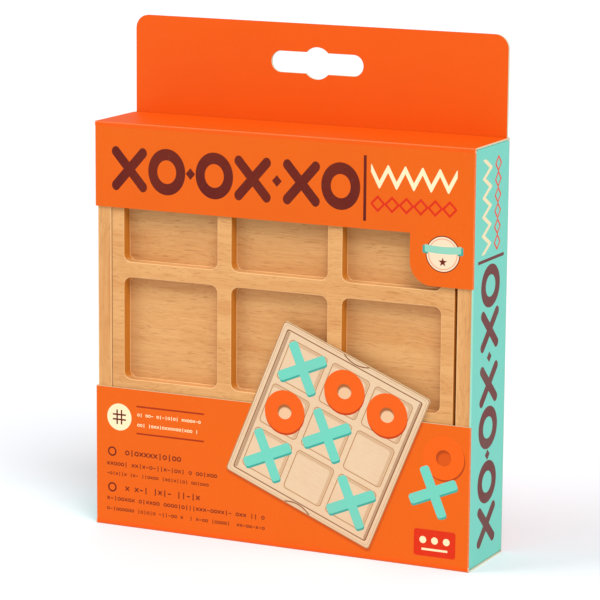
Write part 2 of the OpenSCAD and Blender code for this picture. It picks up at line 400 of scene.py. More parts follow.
def star_shape(x, z, radius, points=5, waist=0.42):
    """A star with one point upwards. Its waists stand at that share of its radius."""
    finish = x.finish
    sector = 2 * math.pi / points
    angle = finish.math("ARCTAN2", x, z)
    # Each side runs straight from a waist to a tip, in a frame that is turned to the waist
    turn = abs(angle.wrapped(sector) - sector / 2)
    reach = distance(x, z)
    across = reach * finish.math("COSINE", turn)
    aside = reach * finish.math("SINE", turn)
    waist_reach = radius * waist
    run_across = radius * math.cos(sector / 2) - waist_reach
    run_aside = radius * math.sin(sector / 2)
    run = math.hypot(run_across, run_aside)
    return (across - waist_reach) * (run_aside / run) - aside * (run_across / run)


def outline(shape, width):
    """The line of that width along a shape's edge."""
    return abs(shape) - width / 2


def inside(shape, soft=0.08):
    """1 inside a shape and 0 outside it."""
    return (0.5 - shape / soft).clamped()


def turned(x, z, degrees):
    """X and Z in a frame that is turned clockwise by that angle."""
    cosine = math.cos(math.radians(degrees))
    sine = math.sin(math.radians(degrees))
    return x * cosine - z * sine, x * sine + z * cosine


def moved(x, z, place):
    """X and Z as counted from a place on the face."""
    return x - place[0], z - place[1]


def is_odd(number):
    """1 where a whole number is odd."""
    return number.wrapped(2).above(0.5)


def game_cells(u, v, pitch):
    """The place within its cell and the cell's number, on a game of three by three.

    The cells are numbered row by row from 0 at the upper left."""
    half = 1.5 * pitch
    column = ((u + half) / pitch).floored()
    row = ((half - v) / pitch).floored()
    cell_u = (u + half).wrapped(pitch) - pitch / 2
    cell_v = (v + half).wrapped(pitch) - pitch / 2
    return cell_u, cell_v, column + row * 3


# Print

# Places on the front, in millimetres from its left edge and from the bottom
TITLE_PLACE = (6.0, 111.5)
MEDAL_PLACE = (122.6, 100.4)
GAME_DISC_PLACE = (8.7, 36.8)
PICTURE_PLACE = (83.6, 38.9)
LOOSE_RING_PLACE = (124.0, 35.9)
LOOSE_CROSS_PLACE = (120.6, 24.7)
LABEL_PLACE = (121.4, 8.0)

# Places on the sides, in millimetres from the bottom and from the back edge
SIDE_TITLE_PLACE = (5.5, 6.2)
SIDE_MARKS_PLACE = (8, 14)

# Clockwise turn of the picture and of the cross beside it, in degrees
PICTURE_TURN = 22.3


class Sheet:
    """Print on one face of the carton: a ground, and inks laid over it one after another."""

    def __init__(self, board, ground):
        self.board = board
        self.colour = ground
        self.carton = bpy.context.scene.ttt_carton
        self.inks = bpy.context.scene.ttt_inks

    def lay(self, over, mask):
        """Lays an ink where the mask is 1."""
        self.colour = self.board.paint(self.colour, over, mask)


def marks_row(x, z, count, pitch, height, stroke):
    """Crosses and rings in turn, in a row that starts at x = 0 and is centred on z = 0."""
    odd = is_odd((x / pitch).floored())
    u = x.wrapped(pitch) - pitch / 2
    crosses = inside(cross_shape(u, z, height * 0.62, stroke)) * (1 - odd)
    rings = inside(ring_shape(u, z, height / 2, stroke)) * odd
    row = inside(block(x - count * pitch / 2, z, count * pitch / 2, height))
    return (crosses + rings) * row


def paired_marks(x, v):
    """Three pairs of a cross and a ring, with small diamonds between the pairs.

    They start at x = 0 and are centred on v = 0. The middle pair has its ring first."""
    pairs = 3
    pitch = 30.7
    pair_width = 27.0
    mark_size = 13.4
    middle_pair = is_odd((x / pitch).floored())
    u = x.wrapped(pitch)
    u = u + middle_pair * ((pair_width - u) - u)
    crosses = inside(cross_shape(u - mark_size / 2, v, reach=mark_size * 0.63, width=3.0))
    rings = inside(ring_shape(u - (pair_width - mark_size / 2), v, radius=mark_size / 2, width=3.3))
    from_gap = x.wrapped(pitch) - (pitch + pair_width) / 2
    diamonds = inside(diamond(from_gap, v, half_size=1.7))
    width = pairs * pitch - (pitch - pair_width)
    row = inside(block(x - width / 2, v, width / 2, mark_size))
    return (crosses + rings + diamonds).clamped() * row


def zigzag_row(x, z, width, peaks=5, rise=5.4, thickness=2.7, margin=1.0):
    """A zigzag from x = 0, with the middle of its line between z = 0 and its rise."""
    half_pitch = width / peaks / 2
    middle = abs(x.wrapped(half_pitch * 2) - half_pitch) * (rise / half_pitch)
    # The line is so steep that a point is about half as far from it as it is above or below it
    line = inside((abs(z - middle) - thickness / 2) * 0.5)
    return line * inside(block(x - width / 2, z - rise / 2, width / 2, rise / 2 + margin))


def diamond_row(x, z, width, count=6, half_size=2.2, stroke=1.0):
    """Outlined diamonds from x = 0, centred on z = 0."""
    pitch = width / count
    row = inside(outline(diamond(x.wrapped(pitch) - pitch / 2, z, half_size), stroke))
    return row * inside(block(x - width / 2, z, width / 2, half_size + stroke))


def title(sheet, x, z, large_ink, second_ink):
    """Large marks, a bar and two smaller rows, from x = 0 to 121 and from z = 0 to 15."""
    middle = 7.6
    tallness = 1.12
    bar_place = 90.0
    rows_start = 92.0
    rows_width = 29.1
    v = (z - middle) / tallness
    bar = inside(block(x - bar_place, v, half_width=0.5, half_height=9.2))
    sheet.lay(large_ink, paired_marks(x, v) + bar)
    sheet.lay(sheet.carton.cream, zigzag_row(x - rows_start, z - 8.9, rows_width))
    sheet.lay(second_ink, diamond_row(x - rows_start, z - 3.0, rows_width))


def small_lines(sheet, x, z, lines, over):
    """Rows of very small rings, bars, crosses and dashes, chosen by chance and with gaps.

    Each line is its left end, right end, middle and height, which is the marks' unit."""
    cell_width = 0.60
    stroke = 0.13
    soft = 0.07
    gap_share = 0.14
    row = place = level = seed = 0
    for left, right, middle, height in lines:
        cell = height * cell_width
        half_length = round((right - left) / cell) * cell / 2
        here = inside(block(x - left - half_length, z - middle, half_length, height / 2), soft=0.01)
        row = here + row
        place = here * ((x - left) / cell) + place
        level = here * ((z - middle) / height) + level
        seed = here * middle + seed
    u = (place.wrapped(1) - 0.5) * cell_width
    chance = sheet.board.chance(place.floored(), seed)
    mark = inside(ring_shape(u, level, 0.28, stroke), soft) * chance.above(gap_share)
    bar = block(u, level, stroke / 2, 0.38)
    cross = cross_shape(u, level, 0.34, stroke)
    dash = block(u, level, 0.20, stroke / 2)
    for shape, least_chance in ((bar, 0.48), (cross, 0.68), (dash, 0.93)):
        mark = mark + (inside(shape, soft) - mark) * chance.above(least_chance)
    sheet.lay(over, mark * row)


def medal(sheet, x, z):
    """A plain round medal with a ribbon and a star."""
    radius = 5.75
    edge = 0.3
    sheet.lay(sheet.carton.maroon, inside(disc(x, z, radius)))
    sheet.lay(sheet.inks.medal, inside(disc(x, z, radius - edge)))
    sheet.lay(sheet.inks.medal_line, inside(ring_shape(x, z, radius=4.9, width=0.25)))
    # The ribbon bends up towards its ends, and its tails hang behind it
    ribbon_z = z - 1.2 - x * x * 0.012
    tails = block(abs(x) - 5.9, ribbon_z + 0.5, half_width=0.9, half_height=1.2)
    sheet.lay(sheet.inks.teal, inside(tails))
    sheet.lay(sheet.inks.ribbon, inside(block(x, ribbon_z, half_width=6.1, half_height=1.15)))
    sheet.lay(sheet.carton.maroon, inside(star_shape(x, z + 2.5, radius=1.5)))


def printed_cross(sheet, x, z, reach, width, where):
    """A cross with a darker side, as a print shows a thick piece."""
    roundness = 0.6
    side = cross_shape(x - 0.45, z + 0.5, reach, width, roundness)
    face = cross_shape(x, z, reach, width, roundness)
    sheet.lay(sheet.inks.teal, inside(side) * where)
    sheet.lay(sheet.inks.mint, inside(face) * where)


def printed_ring(sheet, x, z, radius, width, where, tones):
    """A ring with a darker side and a shadow in its hole.

    The tones are those of its side, of its hole, of the floor in the hole and of its face."""
    hole_radius = radius - width
    side = inside(ring_shape(x - 0.35, z + 0.55, radius, width))
    hole = inside(disc(x, z, hole_radius))
    floor = inside(disc(x - 0.6, z + 0.8, hole_radius - 0.1), soft=0.5)
    face = inside(ring_shape(x, z, radius, width))
    for tone, mask in zip(tones, (side, hole, floor, face)):
        sheet.lay(tone, mask * where)


def pictured_box(sheet, u, v, half, rim):
    """The box's rims, the gap between them and the board, and the board's wood."""
    inks = sheet.inks
    edge = 0.3
    box_corner = 1
    board_corner = 0.8
    grain = sheet.board.noise(u * 0.35, v * 2.6, 1.3)
    wood = sheet.board.paint(inks.wood, inks.wood_dark, (grain - 0.35) * 0.9)
    sheet.lay(inks.shadow, inside(round_square(u - 0.5, v + 0.6, half, box_corner), soft=1.2))
    sheet.lay(inks.line, inside(round_square(u, v, half, box_corner)))
    sheet.lay(wood, inside(round_square(u, v, half - edge, box_corner)))
    bevel_line = outline(round_square(u, v, half - 3 * edge, box_corner), 0.2)
    sheet.lay(inks.line, inside(bevel_line) * 0.5)
    # The gap is wide beside the board and narrow above and below it
    inner = half - rim
    sheet.lay(inks.gap, inside(round_square(u, v, inner + 0.35, board_corner)))
    sheet.lay(wood, inside(round_square(u, v, inner, board_corner)))
    side_gap = block(abs(u - 0.15) - (inner - 0.45), v, half_width=0.5, half_height=inner - edge)
    sheet.lay(inks.gap, inside(side_gap) * 0.55)
    # Finger notches in the middle of the two rims at its ends
    notch_radius = 9.0
    notch_depth = 1.6
    notch = disc(u, abs(v) - (half + notch_radius - notch_depth), notch_radius)
    on_rim = inside(block(u, v, half_width=5.2, half_height=half - edge)) * (abs(v) - inner).above(0)
    sheet.lay(inks.gap, inside(outline(notch, 0.4)) * on_rim)


def picture(sheet, x, z):
    """The printed game box, whose middle is at x = 0 and z = 0."""
    inks = sheet.inks
    pitch = 16.0
    pocket_half = 6.95
    pocket_corner = 1.2
    u, v = turned(x, z, PICTURE_TURN)
    pictured_box(sheet, u, v, half=27.4, rim=2.3)
    cell_u, cell_v, number = game_cells(u, v, pitch)
    on_board = inside(block(u, v, 1.5 * pitch - 0.3, 1.5 * pitch - 0.3))
    pocket = round_square(cell_u, cell_v, pocket_half, pocket_corner)
    sheet.lay(inks.line, inside(outline(pocket, 0.32)) * on_board)
    lit_floor = round_square(cell_u + 0.5, cell_v + 0.5, pocket_half - 0.6, pocket_corner)
    wall_shade = inside(pocket + 0.3) * (1 - inside(lit_floor, soft=0.6))
    sheet.lay(inks.line, wall_shade * on_board * 0.45)
    # Rings lie in the second, third and fourth cells, and crosses in the other even ones
    has_ring = number.above(0.5) * (1 - number.above(3.5)) * on_board
    has_cross = (1 - is_odd(number)) * (1 - has_ring) * on_board
    tones = (inks.ring_side, inks.ring_hole, inks.ring_floor, inks.ring)
    printed_ring(sheet, cell_u, cell_v, radius=7.0, width=4.55, where=has_ring, tones=tones)
    printed_cross(sheet, cell_u, cell_v, reach=8.9, width=3.3, where=has_cross)


def loose_pieces(sheet, x, z):
    """The printed ring and cross that lie beside the picture."""
    inks = sheet.inks
    beside_picture = inside(block(x - 122, z - 30, half_width=12, half_height=14))
    tones = (inks.loose_side, inks.loose_side, inks.loose_floor, inks.loose_ring)
    ring_x, ring_z = moved(x, z, LOOSE_RING_PLACE)
    printed_ring(sheet, ring_x, ring_z, radius=7.0, width=4.4, where=beside_picture, tones=tones)
    cross_x, cross_z = turned(*moved(x, z, LOOSE_CROSS_PLACE), PICTURE_TURN)
    printed_cross(sheet, cross_x, cross_z, reach=8.6, width=3.3, where=beside_picture)


def grid_sign(sheet, x, z, size, stroke, over):
    """The four lines of an empty game."""
    upright = inside(block(abs(x) - size / 6, z, stroke / 2, size / 2))
    level = inside(block(x, abs(z) - size / 6, size / 2, stroke / 2))
    sheet.lay(over, upright.at_least(level))


def game_disc(sheet, x, z):
    """A cream disc with an empty game on it."""
    sheet.lay(sheet.carton.cream, inside(disc(x, z, radius=4.5)))
    grid_sign(sheet, x, z, size=4.9, stroke=0.55, over=sheet.carton.maroon)


def small_print(sheet, x, z):
    """Two cream lines between rules, and two groups of dark lines with a round bullet each."""
    carton = sheet.carton
    for rule_z in (31.95, 41.0):
        rule = block(x - 27.5, z - rule_z, half_width=12.4, half_height=0.28)
        sheet.lay(carton.dark_red, inside(rule))
    cream_lines = [(15.3, 39.6, 38.2, 1.7), (15.3, 38.0, 34.8, 1.7)]
    small_lines(sheet, x, z, cream_lines, carton.cream)
    dark_lines = [
        (9.0, 31.0, 25.0, 2.9), (3.9, 50.5, 20.9, 2.2), (3.9, 42.5, 17.6, 1.8),
        (9.0, 38.5, 12.9, 2.9), (3.9, 61.5, 9.1, 2.2), (3.9, 61.8, 5.6, 1.9),
    ]
    small_lines(sheet, x, z, dark_lines, carton.maroon)
    for bullet_z in (12.9, 25.0):
        bullet = ring_shape(x - 6.0, z - bullet_z, radius=1.6, width=0.5)
        sheet.lay(carton.maroon, inside(bullet))


def plain_label(sheet, x, z):
    """A red block with three dots and a line."""
    carton = sheet.carton
    dot_pitch = 4.0
    half_row = 1.5 * dot_pitch
    sheet.lay(carton.red, inside(round_block(x, z, half_width=7.1, half_height=4.35, radius=0.9)))
    dot_x = (x + half_row).wrapped(dot_pitch) - dot_pitch / 2
    dots = inside(disc(dot_x, z - 0.9, radius=1.15)) * inside(block(x, z, half_row, 3))
    sheet.lay(carton.cream, dots)
    sheet.lay(carton.cream, inside(block(x, z + 2.1, half_width=4.4, half_height=0.35)))


def title_print(sheet, x, z):
    """The band above the window, with the medal on the tongue."""
    title(sheet, *moved(x, z, TITLE_PLACE), sheet.carton.maroon, sheet.carton.red)
    medal(sheet, *moved(x, z, MEDAL_PLACE))


def lower_print(sheet, x, z):
    """The band below the window, with the picture that stands up from it."""
    game_disc(sheet, *moved(x, z, GAME_DISC_PLACE))
    small_print(sheet, x, z)
    plain_label(sheet, *moved(x, z, LABEL_PLACE))
    loose_pieces(sheet, x, z)
    picture(sheet, *moved(x, z, PICTURE_PLACE))


def right_side_print(sheet, along, up):
    """The title again, reading upwards."""
    stretch = 1.025
    title_x, title_z = moved(along, up, SIDE_TITLE_PLACE)
    title(sheet, title_x / stretch, title_z / stretch, sheet.inks.side_maroon, sheet.inks.side_red)


def left_side_print(sheet, along, up):
    """A short row of marks below the window."""
    marks_x, marks_z = moved(along, up, SIDE_MARKS_PLACE)
    marks = marks_row(marks_x, marks_z, count=3, pitch=10, height=8, stroke=2)
    sheet.lay(sheet.inks.side_maroon, marks)


def back_print(sheet, x, z):
    """A large game, tone on tone, and rows of small marks."""
    tone = sheet.inks.tone
    size = 72
    stroke = 3.4
    game_x, game_z = moved(x, z, (SIDE_X / MM, 78))
    grid_sign(sheet, game_x, game_z, size, stroke=2.4, over=tone)
    u, v, number = game_cells(game_x, game_z, size / 3)
    odd = is_odd(number)
    field = inside(block(game_x, game_z, size / 2, size / 2))
    sheet.lay(tone, inside(cross_shape(u, v, reach=9.5, width=stroke)) * (1 - odd) * field)
    sheet.lay(tone, inside(ring_shape(u, v, radius=8.2, width=stroke)) * odd * field)
    lines = [(12, 84, 22.0, 2.2), (12, 96, 17.6, 1.8), (12, 72, 13.6, 1.8), (12, 90, 9.6, 1.8)]
    small_lines(sheet, x, z, lines, sheet.carton.maroon)


def front_places(x, _, z):
    """From the front's left edge, and up."""
    return x + SIDE_X / MM, z


def side_places(_, y, z):
    """Up a side, and from its back edge forwards, for print that reads upwards."""
    return z, BACK_Y / MM - y


def back_places(x, _, z):
    """From the left edge as the back is looked at, and up."""
    return SIDE_X / MM - x, z


# Finishes


def darker(colour, share):
    return tuple(share * part for part in colour)


def paler(colour, share):
    """That share of the way from a colour to white."""
    return tuple(share + (1 - share) * part for part in colour)


def fold_nearness(x, y, z):
    """1 on the carton's outer folds, falling to 0 beside them, except on the back's two ends."""
    reach = 0.42
    from_side = SIDE_X / MM - abs(x)
    from_face = BACK_Y / MM - abs(y)
    from_front = y - FRONT_Y / MM
    from_end = abs(TOP_Z / MM / 2 - abs(z - TOP_Z / MM / 2))
    corner = (from_side + from_face).at_most(from_front + from_end)
    corner = corner.at_most(from_side + from_end)
    return (1 - corner / reach).clamped()


def printed_board(name, ground, art=None, where=None):
    """Coated board with ink on it, worn on its folds, which are also painted paler as a highlight.

    The art lays inks on a sheet, at the places across and up that "where" finds from X, Y and Z."""
    board = Finish(name)
    places = board.places()
    sheet = Sheet(board, ground)
    if art:
        art(sheet, *where(*places))
    cloud = board.even_noise(places, 0.045)
    grit = board.even_noise(places, 3.1)
    crack = board.even_noise(places, 1.7, detail=3)
    # Pale cream along the folds: cracked ink where the board is worn, and a painted highlight on each
    # fold
    fold_wear_and_highlight = fold_nearness(*places) * (crack * 0.9 + 0.1)
    sheet.lay(darker(ground, 0.72), (cloud - 0.42) * 0.22)
    sheet.lay(paler(ground, 0.5), (grit - 0.60).at_least(0) * 0.3)
    sheet.lay(ink("ffd9b0"), fold_wear_and_highlight * 0.8)
    board.set("Base Color", sheet.colour)
    board.set("Roughness", 0.46 + grit * 0.10 + fold_wear_and_highlight * 0.2)
    board.set("Specular IOR Level", PRINT_SHINE)
    board.raise_by(grit * 0.5 + cloud * 2, 0.012 * MM, 0.6)
    return board.material


def cut_board(carton):
    """The layered core that shows where the board is cut."""
    board = Finish("cut_board_edge")
    places = board.places()
    fibre = board.even_noise(places, 2.0, detail=3)
    fuzz = board.even_noise(places, 9, detail=1)
    colour = board.paint(carton.core, ink("b9ad8c"), (fibre - 0.4) * 0.9)
    board.set("Base Color", board.paint(colour, ink("f6f1de"), (fuzz - 0.5) * 0.5))
    board.set("Roughness", 0.82 + fuzz * 0.1)
    board.set("Specular IOR Level", DRY_SHINE)
    board.raise_by(fuzz, 0.03 * MM)
    return board.material


def board_liner(carton):
    """The unprinted inner side, with loose fibres and specks."""
    board = Finish("board_liner")
    x, y, z = places = board.places()
    cloud = board.even_noise(places, 0.12, detail=3)
    specks = board.even_noise(places, 2.4, detail=1)
    fibre = board.noise(x * 0.9, y * 5.0, z * 5.0)
    colour = board.paint(carton.liner, ink("cfc6b2"), (cloud - 0.35) * 0.6)
    colour = board.paint(colour, ink("9c8f76"), (specks - 0.70).at_least(0) * 5)
    board.set("Base Color", board.paint(colour, ink("fbf8f0"), (fibre - 0.5) * 0.6))
    board.set("Roughness", 0.86 + fibre * 0.1)
    board.set("Specular IOR Level", DRY_SHINE)
    board.raise_by(fibre, 0.02 * MM)
    return board.material


def beech(name, grain, wood, plank=0.0):
    """Sanded beech whose grain runs along one axis. Each plank number takes it from another plank."""
    finish = Finish(name)
    places = finish.places()
    along = places[grain] + plank
    across, inwards = [places[axis] + plank for axis in (X, Y, Z) if axis != grain]
    # The grain wanders as it runs, by up to these numbers of millimetres
    drift = finish.noise(along * 0.035, across * 0.05, inwards * 0.05, detail=1) * 6
    wave = finish.noise(along * 0.09, across * 0.08, inwards * 0.08, detail=1) * 2
    across = across + drift + wave
    inwards = inwards + drift + wave

    def figure(length_scale, width_scale, detail, roughness=0.5):
        """Noise with those numbers of lumps to a millimetre along and across the grain."""
        return finish.noise(
            along * length_scale, across * width_scale, inwards * width_scale, detail, roughness)

    bands = figure(0.010, 0.16, detail=3)
    streaks = figure(0.03, 1.1, detail=3)
    lines = figure(0.06, 3.2, detail=1)
    rays = figure(0.22, 2.6, detail=1, roughness=0.4)
    pores = figure(0.7, 7, detail=1)
    dots = figure(1.2, 3.5, detail=2)
    late_wood = (bands - 0.36) * 1.6 + (streaks - 0.5) * 1.1
    ray_mask = ((rays - 0.60) * 7).clamped()
    colour = finish.paint(wood.light, wood.dark, late_wood.clamped())
    colour = finish.paint(colour, wood.fleck, ((lines - 0.56) * 4).clamped() * 0.34)
    colour = finish.paint(colour, wood.fleck, ray_mask * 0.34)
    colour = finish.paint(colour, wood.fleck, ((pores - 0.62) * 6).clamped() * 0.20)
    # Sanded edge faces painted paler: sanded wood, and a painted highlight along the edges
    colour = finish.paint(colour, wood.sanded_and_highlit, finish.marked(SANDED_AND_HIGHLIT) * 0.42)
    end_colour = finish.paint(wood.end_grain, wood.fleck, (dots - 0.4).clamped())
    on_end = ((finish.facing(grain) - 0.5) * 3).clamped()
    finish.set("Base Color", finish.paint(colour, end_colour, on_end * 0.85))
    finish.set("Roughness", 0.50 + streaks * 0.16 + ray_mask * 0.1)
    finish.set("Specular IOR Level", DRY_SHINE)
    finish.raise_by(pores * -0.6 + streaks * 0.4 - ray_mask * 0.3, 0.04 * MM, 0.7)
    return finish.material


def paint_coat(name, colour):
    """Matt paint on beech, a little thin where the grain stands up."""
    finish = Finish(name)
    x, y, z = places = finish.places()
    grain = finish.noise(x * 0.3, y * 3.0, z * 3.0)
    peel = finish.even_noise(places, 1.6)
    thin = finish.paint(colour, paler(colour, 0.25), (grain - 0.52).at_least(0) * 1.2)
    finish.set("Base Color", finish.paint(thin, darker(colour, 0.6), (peel - 0.5) * 0.35))
    finish.set("Roughness", 0.42 + peel * 0.2)
    finish.raise_by(grain * 0.6 + peel, 0.03 * MM, 0.8)
    return finish.material


# Mesh work


def copy_of(node):
    """A CAD node's shape with its loose triangles merged and each flat face made whole."""
    mesh = bmesh.new()
    mesh.from_mesh(frame["nodes"][node].data)
    bmesh.ops.remove_doubles(mesh, verts=mesh.verts, dist=TOUCH)
    bmesh.ops.dissolve_limit(mesh, angle_limit=FLAT_WITHIN, verts=mesh.verts, edges=mesh.edges)
    return mesh


def body_of(node):
    """The body that the record gives a CAD node."""
    for name, members in frame["record"]["behaviour"]["bodies"].items():
        if node in members:
            return name
    raise ValueError(f"no body holds {node}")


def make_piece(mesh, name, materials):
    """An object from a finished bmesh, at the origin, with near points merged and smooth shading."""
    bmesh.ops.remove_doubles(mesh, verts=mesh.verts, dist=TOUCH)
    data = bpy.data.meshes.new(name)
    mesh.to_mesh(data)
    mesh.free()
    for material in materials:
        data.materials.append(material)
    data.shade_smooth()
    data.set_sharp_from_angle(angle=SHARP_FROM)
    piece = bpy.data.objects.new(name, data)
    bpy.context.scene.collection.objects.link(piece)
    shading = piece.modifiers.new("Even shading", "WEIGHTED_NORMAL")
    shading.keep_sharp = True
    return piece


def replace_node(mesh, node, ending, materials):
    """A piece that stands for one CAD node and moves with its body."""
    piece = make_piece(mesh, f"{node}_{ending}", materials)
    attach(piece, body_of(node))
    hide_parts(node)
    return piece


def edges_on(mesh, places):
    """The edges that lie on a line, given as two of its coordinates: {axis: place}."""
    def on_line(vertex):
        return all(abs(vertex.co[axis] - place) < TOUCH for axis, place in places.items())
    return [edge for edge in mesh.edges if on_line(edge.verts[0]) and on_line(edge.verts[1])]


def round_over(mesh, edges, radius, segments):
    """Rounds those edges and returns the new faces."""
    made = bmesh.ops.bevel(
        mesh, geom=edges, offset=radius, offset_type="OFFSET", affect="EDGES",
        segments=segments, profile=0.5, material=-1, clamp_overlap=True)
    return made["faces"]


def trim(mesh, axis, place, keep_above):
    """Cuts a closed shape at a plane and closes the cut."""
    point = Vector((0, 0, 0))
    point[axis] = place
    normal = Vector((0, 0, 0))
    normal[axis] = -1 if keep_above else 1
    geometry = mesh.verts[:] + mesh.edges[:] + mesh.faces[:]
    cut = bmesh.ops.bisect_plane(
        mesh, geom=geometry, dist=TOUCH / 10, plane_co=point, plane_no=normal, clear_outer=True)
    edges = [item for item in cut["geom_cut"] if isinstance(item, bmesh.types.BMEdge)]
    bmesh.ops.edgeloop_fill(mesh, edges=edges)
    bmesh.ops.recalc_face_normals(mesh, faces=mesh.faces)


# Places of a carton piece's three finishes
PRINTED, CUT, LINER = 0, 1, 2


def carton_piece(node, outward, materials, trims=(), folds=(), printed_top=None):
    """A panel, flap or ply: printed outside, plain inside and pale where it is cut.

    Trims are (axis, place, keep_above) and leave room for a bent strip. Folds are lines,
    {axis: place}, where the board turns a fixed corner. The print goes over the faces at the
    printed top's height."""
    carton = bpy.context.scene.ttt_carton
    mesh = copy_of(node)
    for axis, place, keep_above in trims:
        trim(mesh, axis, place, keep_above)
    for face in mesh.faces:
        squareness = face.normal.dot(outward)
        face.material_index = PRINTED if squareness > 0.5 else LINER if squareness < -0.5 else CUT
        if printed_top and all(abs(vertex.co.z - printed_top) < TOUCH for vertex in face.verts):
            face.material_index = PRINTED
    for line in folds:
        for face in round_over(mesh, edges_on(mesh, line), carton.fold_radius, carton.fold_segments):
            face.material_index = PRINTED
    return replace_node(mesh, node, "printed", materials)


class Crease:
    """A crease that opens: a point on its outer line, and the board's directions away from it."""

    def __init__(self, corner, along_panel, along_flap):
        self.corner = Vector(corner)
        self.along_panel = Vector(along_panel)
        self.along_flap = Vector(along_flap)
        self.inwards = self.along_panel + self.along_flap
        self.line = self.along_panel.cross(self.along_flap)
        self.axis = max((X, Y, Z), key=lambda axis: abs(self.line[axis]))

    def depths(self, point):
        """How far a point lies from the crease along the panel, and along the flap."""
        return [(point - self.corner).dot(along) for along in (self.along_panel, self.along_flap)]


def push_edges(mesh, edges, step):
    """Draws faces out from those edges and returns the edges at their far end."""
    made = bmesh.ops.extrude_edge_only(mesh, edges=edges)["geom"]
    verts = [item for item in made if isinstance(item, bmesh.types.BMVert)]
    bmesh.ops.translate(mesh, verts=verts, vec=step)
    return [item for item in made if isinstance(item, bmesh.types.BMEdge)
            and all(vertex in verts for vertex in item.verts)]


def bend_sheet(mesh, crease, panel_span, flap_span, bend_steps):
    """The strip's outer side: along the panel, round the crease and along the flap.

    The spans are (low, high) along the crease, and the flap's lies within the panel's."""
    radius = SHEET + CREASE_INNER_R
    row = []
    for stop in sorted({*panel_span, *flap_span}):
        point = crease.corner + crease.along_panel * STRIP
        point[crease.axis] = stop
        row.append(mesh.verts.new(point))
    edges = [mesh.edges.new(pair) for pair in zip(row, row[1:])]
    edges = push_edges(mesh, edges, crease.along_panel * (radius - STRIP))
    low, high = flap_span
    edges = [edge for edge in edges
             if all(low - TOUCH < vertex.co[crease.axis] < high + TOUCH for vertex in edge.verts)]
    ends = {vertex for edge in edges for vertex in edge.verts}
    bend = bmesh.ops.spin(
        mesh, geom=edges + list(ends), cent=crease.corner + crease.inwards * radius,
        axis=crease.line, angle=-math.pi / 2, steps=bend_steps, use_duplicate=False)
    edges = [item for item in bend["geom_last"] if isinstance(item, bmesh.types.BMEdge)]
    push_edges(mesh, edges, crease.along_flap * (STRIP - radius))
    bmesh.ops.remove_doubles(mesh, verts=mesh.verts, dist=TOUCH)


def thicken_sheet(mesh, crease):
    """Gives the strip its thickness, inwards, and presses it thin on the inside of the crease.

    The pressing keeps the board clear of what is inside as the crease opens."""
    bmesh.ops.recalc_face_normals(mesh, faces=mesh.faces)
    outer = list(mesh.faces)
    on_panel = max(outer, key=lambda face: crease.depths(face.calc_center_median())[0])
    if on_panel.normal.dot(crease.along_flap) > 0:
        bmesh.ops.reverse_faces(mesh, faces=outer)
    bmesh.ops.solidify(mesh, geom=outer, thickness=SHEET)
    bmesh.ops.recalc_face_normals(mesh, faces=mesh.faces)
    for vertex in mesh.verts:
        if all(SHEET - TOUCH < depth < CREASE_PRESSED for depth in crease.depths(vertex.co)):
            vertex.co -= crease.inwards * CREASE_PRESSED_BY


def finish_sheet(mesh, crease):
    """Prints the strip's outer side and leaves its ends cut and its inner side plain."""
    middle = crease.corner + crease.inwards * STRIP
    for face in mesh.faces:
        outwards = (face.calc_center_median() - middle).dot(face.normal)
        on_end = abs(face.normal[crease.axis]) > 0.9
        face.material_index = CUT if on_end else PRINTED if outwards > 0 else LINER


def bent_strip(name, crease, panel_span, flap_span, materials):
    """The board round a crease that opens, bent from the panel to the flap."""
    mesh = bmesh.new()
    bend_sheet(mesh, crease, panel_span, flap_span, bpy.context.scene.ttt_carton.fold_segments)
    thicken_sheet(mesh, crease)
    finish_sheet(mesh, crease)
    piece = make_piece(mesh, name, materials)
    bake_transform(piece)
    return piece


def sand_edges(mesh, radius, segments=3, least_angle=30):
    """Rounds every edge sharper than that angle and marks the new faces, which the beech paints paler:
    sanded wood with a painted highlight.
    """
    mark = mesh.faces.layers.float.new(SANDED_AND_HIGHLIT)
    edges = [edge for edge in mesh.edges if edge.calc_face_angle(0) > math.radians(least_angle)]
    for face in round_over(mesh, edges, radius, segments):
        face[mark] = 1


# Materials that several operators share are made once


def shared(name, make, *details):
    found = bpy.data.materials.get(name)
    return found if found else make(*details)


def board_set(name, ground, art=None, where=None):
    """The three finishes of a carton piece, in the order PRINTED, CUT, LINER."""
    carton = bpy.context.scene.ttt_carton
    return [
        shared(name, printed_board, name, ground, art, where),
        shared("cut_board_edge", cut_board, carton),
        shared("board_liner", board_liner, carton),
    ]


def plain_orange():
    return board_set("orange_board", bpy.context.scene.ttt_carton.deep_orange)


def plain_mint():
    return board_set("mint_board", bpy.context.scene.ttt_carton.mint)


class BuildFront(bpy.types.Operator):
    """Build the two front bands of the carton, with the die-cut picture"""

    bl_idname = "ttt.build_front"
    bl_label = "Front Bands"

    def execute(self, context):
        orange = context.scene.ttt_carton.orange
        folds = [{X: -SIDE_X, Y: FRONT_Y}, {X: SIDE_X, Y: FRONT_Y}]
        upper = board_set("title_print", orange, title_print, front_places)
        carton_piece("front_panel_upper", -BACKWARDS, upper, [(Z, TOP_Z - STRIP, False)], folds)
        lower = board_set("picture_print", orange, lower_print, front_places)
        carton_piece("front_panel_lower", -BACKWARDS, lower, [(Z, STRIP, True)], folds)
        return {"FINISHED"}


